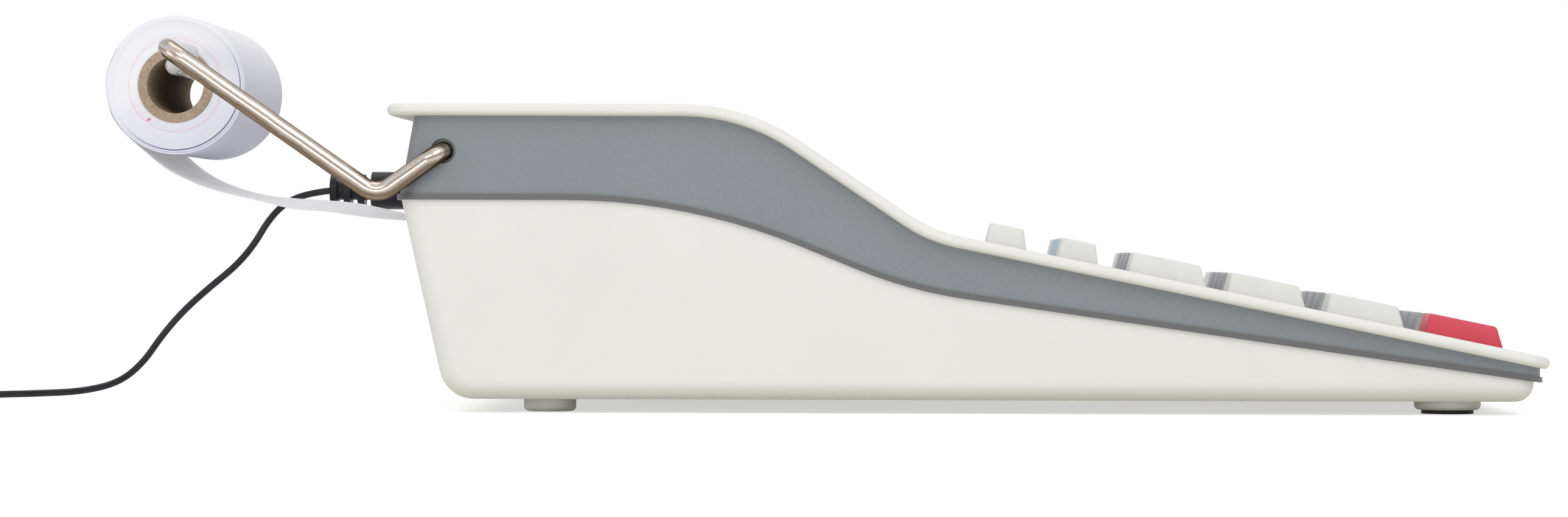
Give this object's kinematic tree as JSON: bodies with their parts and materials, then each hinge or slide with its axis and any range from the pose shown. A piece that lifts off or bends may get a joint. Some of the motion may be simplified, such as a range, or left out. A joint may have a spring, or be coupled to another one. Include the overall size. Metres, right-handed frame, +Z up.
{
  "type": "printing desk calculator",
  "caption": "Printing desk calculator with a sloped keyboard, a paper roll on a bent wire holder at the rear, a hinged printer lid and a power adapter on a coiled cord.",
  "frame": {"origin": "on the desk, under the middle of the calculator with its paper roll", "axes": "+X to the user's right, +Y to the rear, +Z up; the keys face the user at -Y"},
  "size_m": [0.1974, 0.4582, 0.0844],
  "materials": {
    "cream_plastic": "fine-grained cream moulded plastic",
    "grey_plastic": "fine-grained blue-grey moulded plastic",
    "key_cream": "satin off-white key plastic",
    "key_grey": "satin grey key plastic",
    "key_blue": "satin pale blue key plastic",
    "key_red": "satin red key plastic",
    "steel": "plain steel",
    "nickel_wire": "nickel-plated wire",
    "window": "clear tinted window",
    "display": "grey-green liquid crystal panel",
    "circuit_board": "green circuit board",
    "rubber": "black rubber",
    "ribbon": "flat white ribbon",
    "gear_plastic": "natural nylon",
    "brass_gear": "turned brass",
    "black_plastic": "black moulded plastic",
    "plug_plastic": "black soft plastic",
    "ink": "inked felt",
    "paper": "smooth white paper",
    "cardboard": "brown cardboard",
    "cord": "black flexible cord"
  },
  "bodies": {
    "base": {"lower_case": "cream_plastic", "upper_cover": "cream_plastic", "middle_band": "grey_plastic", "tear_bar": "steel", "display_window": "window", "display_panel": "display", "keyboard_board": "circuit_board", "key_mat": "rubber", "main_board": "circuit_board", "ribbon_cable": "ribbon", "printer_frame": "steel", "printer_motor": "steel", "carriage_rod": "steel", "paper_strip": "paper", "dc_jack": "black_plastic", "case_screws": "steel", "foot_pads": "rubber", "dc_plug": "plug_plastic", "cord_run": "cord", "cord_coil": "cord", "adapter_lead": "cord", "power_adapter": "plug_plastic"},
    "printer_lid": {"printer_cover": "cream_plastic"},
    "platen": {"platen_roller": "rubber", "platen_gear": "gear_plastic"},
    "pinion": {"motor_pinion": "brass_gear"},
    "carriage": {"print_carriage": "black_plastic"},
    "ink": {"ink_roller": "ink"},
    "paper_holder": {"holder_wire": "nickel_wire"},
    "roll": {"paper_roll": "paper", "roll_core": "cardboard"},
    "key_print": {"key_print": "key_cream"},
    "key_rate": {"key_rate": "key_cream"},
    "key_item": {"key_item": "key_cream"},
    "key_round_off": {"key_round_off": "key_cream"},
    "key_feed": {"key_feed": "key_cream"},
    "key_tax": {"key_tax": "key_cream"},
    "key_grand_total": {"key_grand_total": "key_blue"},
    "key_mark_up": {"key_mark_up": "key_blue"},
    "key_sign": {"key_sign": "key_blue"},
    "key_back": {"key_back": "key_cream"},
    "key_percent": {"key_percent": "key_cream"},
    "key_7": {"key_7": "key_grey"},
    "key_8": {"key_8": "key_grey"},
    "key_9": {"key_9": "key_grey"},
    "key_divide": {"key_divide": "key_cream"},
    "key_memory_total": {"key_memory_total": "key_cream"},
    "key_4": {"key_4": "key_grey"},
    "key_5": {"key_5": "key_grey"},
    "key_6": {"key_6": "key_grey"},
    "key_multiply": {"key_multiply": "key_cream"},
    "key_memory_plus": {"key_memory_plus": "key_cream"},
    "key_1": {"key_1": "key_grey"},
    "key_2": {"key_2": "key_grey"},
    "key_3": {"key_3": "key_grey"},
    "key_plus": {"key_plus": "key_cream"},
    "key_clear": {"key_clear": "key_red"},
    "key_0": {"key_0": "key_grey"},
    "key_00": {"key_00": "key_grey"},
    "key_point": {"key_point": "key_grey"}
  },
  "joints": [
    {"name": "lid_hinge", "type": "hinge", "parent": "base", "child": "printer_lid", "pos_m": [0, 0.03165, 0.06295], "axis": [1, 0, 0], "range_deg": [0, 100]},
    {"name": "platen_spin", "type": "hinge", "parent": "base", "child": "platen", "pos_m": [0, 0.06, 0.045], "axis": [1, 0, 0], "continuous": true},
    {"name": "pinion_spin", "type": "hinge", "parent": "base", "child": "pinion", "pos_m": [0.041, 0.052, 0.02932], "axis": [1, 0, 0], "continuous": true},
    {"name": "carriage_slide", "type": "slide", "parent": "base", "child": "carriage", "axis": [1, 0, 0], "range_m": [0, 0.044]},
    {"name": "ink_spin", "type": "hinge", "parent": "carriage", "child": "ink", "pos_m": [-0.022, 0.044, 0.0545], "axis": [1, 0, 0], "continuous": true},
    {"name": "holder_swing", "type": "hinge", "parent": "base", "child": "paper_holder", "pos_m": [0, 0.0761, 0.0543], "axis": [1, 0, 0], "range_deg": [0, 45], "deforming": ["paper_strip"]},
    {"name": "roll_spin", "type": "hinge", "parent": "paper_holder", "child": "roll", "pos_m": [0, 0.1387, 0.0694], "axis": [1, 0, 0], "continuous": true},
    {"name": "key_print_press", "type": "slide", "parent": "base", "child": "key_print", "axis": [0, 0.199, -0.98], "range_m": [0, 0.0022], "stiffness_N_per_m": 150, "springref_m": -0.002},
    {"name": "key_rate_press", "type": "slide", "parent": "base", "child": "key_rate", "axis": [0, 0.199, -0.98], "range_m": [0, 0.0022], "stiffness_N_per_m": 150, "springref_m": -0.002},
    {"name": "key_item_press", "type": "slide", "parent": "base", "child": "key_item", "axis": [0, 0.199, -0.98], "range_m": [0, 0.0022], "stiffness_N_per_m": 150, "springref_m": -0.002},
    {"name": "key_round_off_press", "type": "slide", "parent": "base", "child": "key_round_off", "axis": [0, 0.199, -0.98], "range_m": [0, 0.0022], "stiffness_N_per_m": 150, "springref_m": -0.002},
    {"name": "key_feed_press", "type": "slide", "parent": "base", "child": "key_feed", "axis": [0, 0.199, -0.98], "range_m": [0, 0.0022], "stiffness_N_per_m": 150, "springref_m": -0.002},
    {"name": "key_tax_press", "type": "slide", "parent": "base", "child": "key_tax", "axis": [0, 0.199, -0.98], "range_m": [0, 0.0022], "stiffness_N_per_m": 150, "springref_m": -0.002},
    {"name": "key_grand_total_press", "type": "slide", "parent": "base", "child": "key_grand_total", "axis": [0, 0.199, -0.98], "range_m": [0, 0.0022], "stiffness_N_per_m": 150, "springref_m": -0.002},
    {"name": "key_mark_up_press", "type": "slide", "parent": "base", "child": "key_mark_up", "axis": [0, 0.199, -0.98], "range_m": [0, 0.0022], "stiffness_N_per_m": 150, "springref_m": -0.002},
    {"name": "key_sign_press", "type": "slide", "parent": "base", "child": "key_sign", "axis": [0, 0.199, -0.98], "range_m": [0, 0.0022], "stiffness_N_per_m": 150, "springref_m": -0.002},
    {"name": "key_back_press", "type": "slide", "parent": "base", "child": "key_back", "axis": [0, 0.199, -0.98], "range_m": [0, 0.0022], "stiffness_N_per_m": 150, "springref_m": -0.002},
    {"name": "key_percent_press", "type": "slide", "parent": "base", "child": "key_percent", "axis": [0, 0.199, -0.98], "range_m": [0, 0.0022], "stiffness_N_per_m": 150, "springref_m": -0.002},
    {"name": "key_7_press", "type": "slide", "parent": "base", "child": "key_7", "axis": [0, 0.199, -0.98], "range_m": [0, 0.0022], "stiffness_N_per_m": 150, "springref_m": -0.002},
    {"name": "key_8_press", "type": "slide", "parent": "base", "child": "key_8", "axis": [0, 0.199, -0.98], "range_m": [0, 0.0022], "stiffness_N_per_m": 150, "springref_m": -0.002},
    {"name": "key_9_press", "type": "slide", "parent": "base", "child": "key_9", "axis": [0, 0.199, -0.98], "range_m": [0, 0.0022], "stiffness_N_per_m": 150, "springref_m": -0.002},
    {"name": "key_divide_press", "type": "slide", "parent": "base", "child": "key_divide", "axis": [0, 0.199, -0.98], "range_m": [0, 0.0022], "stiffness_N_per_m": 150, "springref_m": -0.002},
    {"name": "key_memory_total_press", "type": "slide", "parent": "base", "child": "key_memory_total", "axis": [0, 0.199, -0.98], "range_m": [0, 0.0022], "stiffness_N_per_m": 150, "springref_m": -0.002},
    {"name": "key_4_press", "type": "slide", "parent": "base", "child": "key_4", "axis": [0, 0.199, -0.98], "range_m": [0, 0.0022], "stiffness_N_per_m": 150, "springref_m": -0.002},
    {"name": "key_5_press", "type": "slide", "parent": "base", "child": "key_5", "axis": [0, 0.199, -0.98], "range_m": [0, 0.0022], "stiffness_N_per_m": 150, "springref_m": -0.002},
    {"name": "key_6_press", "type": "slide", "parent": "base", "child": "key_6", "axis": [0, 0.199, -0.98], "range_m": [0, 0.0022], "stiffness_N_per_m": 150, "springref_m": -0.002},
    {"name": "key_multiply_press", "type": "slide", "parent": "base", "child": "key_multiply", "axis": [0, 0.199, -0.98], "range_m": [0, 0.0022], "stiffness_N_per_m": 150, "springref_m": -0.002},
    {"name": "key_memory_plus_press", "type": "slide", "parent": "base", "child": "key_memory_plus", "axis": [0, 0.199, -0.98], "range_m": [0, 0.0022], "stiffness_N_per_m": 150, "springref_m": -0.002},
    {"name": "key_1_press", "type": "slide", "parent": "base", "child": "key_1", "axis": [0, 0.199, -0.98], "range_m": [0, 0.0022], "stiffness_N_per_m": 150, "springref_m": -0.002},
    {"name": "key_2_press", "type": "slide", "parent": "base", "child": "key_2", "axis": [0, 0.199, -0.98], "range_m": [0, 0.0022], "stiffness_N_per_m": 150, "springref_m": -0.002},
    {"name": "key_3_press", "type": "slide", "parent": "base", "child": "key_3", "axis": [0, 0.199, -0.98], "range_m": [0, 0.0022], "stiffness_N_per_m": 150, "springref_m": -0.002},
    {"name": "key_plus_press", "type": "slide", "parent": "base", "child": "key_plus", "axis": [0, 0.199, -0.98], "range_m": [0, 0.0022], "stiffness_N_per_m": 150, "springref_m": -0.002},
    {"name": "key_clear_press", "type": "slide", "parent": "base", "child": "key_clear", "axis": [0, 0.199, -0.98], "range_m": [0, 0.0022], "stiffness_N_per_m": 150, "springref_m": -0.002},
    {"name": "key_0_press", "type": "slide", "parent": "base", "child": "key_0", "axis": [0, 0.199, -0.98], "range_m": [0, 0.0022], "stiffness_N_per_m": 150, "springref_m": -0.002},
    {"name": "key_00_press", "type": "slide", "parent": "base", "child": "key_00", "axis": [0, 0.199, -0.98], "range_m": [0, 0.0022], "stiffness_N_per_m": 150, "springref_m": -0.002},
    {"name": "key_point_press", "type": "slide", "parent": "base", "child": "key_point", "axis": [0, 0.199, -0.98], "range_m": [0, 0.0022], "stiffness_N_per_m": 150, "springref_m": -0.002}
  ],
  "couplings": [
    {"joint": "pinion_spin", "follows": "platen_spin", "ratio": -2.1429}
  ]
}
